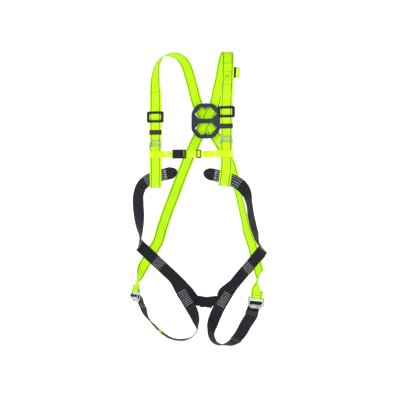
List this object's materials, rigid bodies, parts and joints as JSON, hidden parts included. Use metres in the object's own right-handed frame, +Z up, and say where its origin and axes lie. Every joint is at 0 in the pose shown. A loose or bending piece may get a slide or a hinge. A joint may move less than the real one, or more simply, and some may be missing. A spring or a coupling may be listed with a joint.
{
  "type": "full-body safety harness",
  "caption": "Full-body fall-arrest harness of flat webbing with dorsal plate and ring, chest rings, adjusters, chest buckle, hip loops and leg buckles.",
  "frame": {"origin": "midway between the two shoulder crests, where the straps rest on the wearer", "axes": "+Z up along the wearer, +X to the wearer's left, +Y behind the wearer"},
  "size_m": [0.5272, 0.2786, 1.1188],
  "materials": {
    "lime_webbing": "high-visibility yellow-green polyester webbing with two dark tracer lines",
    "chest_webbing": "narrow high-visibility polyester webbing",
    "black_webbing": "black polyester webbing with pale stitching",
    "elastic": "dark ribbed elastic",
    "black_steel": "black coated pressed steel, satin",
    "plate_plastic": "dark blue-grey moulded plastic, fine grain",
    "black_plastic": "black moulded acetal",
    "steel": "zinc plated forged steel, bright"
  },
  "bodies": {
    "root": {"adjuster_l": "black_steel", "adjuster_loop_l": "lime_webbing", "adjuster_loop_r": "lime_webbing", "adjuster_r": "black_steel", "adjuster_turn_l": "lime_webbing", "adjuster_turn_r": "lime_webbing", "chest_socket": "black_plastic", "chest_strap_l": "chest_webbing", "chest_strap_r": "chest_webbing", "dorsal_plate": "plate_plastic", "front_strap_l": "lime_webbing", "front_strap_r": "lime_webbing", "hip_loop_l": "black_webbing", "hip_loop_r": "black_webbing", "hip_strap_l": "black_webbing", "hip_strap_r": "black_webbing", "label_strip": "black_webbing", "leg_loop_l": "lime_webbing", "leg_loop_r": "lime_webbing", "leg_ring_l": "steel", "leg_ring_r": "steel", "plate_loop_l": "black_webbing", "plate_loop_r": "black_webbing", "ring_band_l": "lime_webbing", "ring_band_r": "lime_webbing", "shoulder_strap_l": "lime_webbing", "shoulder_strap_r": "lime_webbing", "strap_sleeve_l": "black_webbing", "strap_sleeve_r": "black_webbing", "strap_tail_l": "lime_webbing", "strap_tail_r": "lime_webbing", "thigh_keeper_lower_l": "elastic", "thigh_keeper_lower_r": "lime_webbing", "thigh_keeper_upper_l": "elastic", "thigh_keeper_upper_r": "elastic", "thigh_strap_l": "black_webbing", "thigh_strap_r": "black_webbing"},
    "dorsal_ring": {"dorsal_ring": "steel"},
    "chest_ring_r": {"chest_ring_r": "steel"},
    "chest_ring_l": {"chest_ring_l": "steel"},
    "keeper_r": {"keeper_r": "elastic"},
    "keeper_l": {"keeper_l": "elastic"},
    "chest_plug": {"chest_plug": "black_plastic"},
    "chest_slider": {"chest_slider": "black_plastic"},
    "leg_plate_r": {"leg_plate_r": "steel"},
    "leg_plate_l": {"leg_plate_l": "steel"},
    "label_flap": {"label_flap": "lime_webbing"}
  },
  "joints": [
    {"name": "dorsal_ring_swing", "type": "hinge", "parent": "root", "child": "dorsal_ring", "pos_m": [0.003, 0.1133, -0.245], "axis": [1, 0, 0], "range_deg": [0, 100]},
    {"name": "chest_ring_swing_r", "type": "hinge", "parent": "root", "child": "chest_ring_r", "pos_m": [-0.14, -0.1189, -0.36], "axis": [1, 0, 0], "range_deg": [0, 140]},
    {"name": "chest_ring_swing_l", "type": "hinge", "parent": "root", "child": "chest_ring_l", "pos_m": [0.13, -0.1189, -0.349], "axis": [1, 0, 0], "range_deg": [0, 140]},
    {"name": "keeper_slide_r", "type": "slide", "parent": "root", "child": "keeper_r", "axis": [0, 0, 1], "range_m": [-0.012, 0.009]},
    {"name": "keeper_slide_l", "type": "slide", "parent": "root", "child": "keeper_l", "axis": [0, 0, 1], "range_m": [-0.018, 0.004]},
    {"name": "chest_plug_release", "type": "slide", "parent": "root", "child": "chest_plug", "axis": [1, 0, 0], "range_m": [0, 0.028], "deforming": ["chest_strap_l"]},
    {"name": "chest_slider_slide", "type": "slide", "parent": "root", "child": "chest_slider", "axis": [1, 0, 0], "range_m": [-0.007, 0.045]},
    {"name": "leg_plate_tilt_r", "type": "hinge", "parent": "root", "child": "leg_plate_r", "pos_m": [-0.24954, -0.02578, -0.923], "axis": [0.722, -0.6919, 0], "range_deg": [-18, 18]},
    {"name": "leg_plate_tilt_l", "type": "hinge", "parent": "root", "child": "leg_plate_l", "pos_m": [0.22486, -0.02819, -0.93691], "axis": [0.9744, 0.1989, -0.1045], "range_deg": [-18, 18]},
    {"name": "label_flap_fold", "type": "hinge", "parent": "root", "child": "label_flap", "pos_m": [0.16049, -0.08681, -0.08394], "axis": [0.0376, -0.3727, -0.9272], "range_deg": [0, 150]}
  ]
}
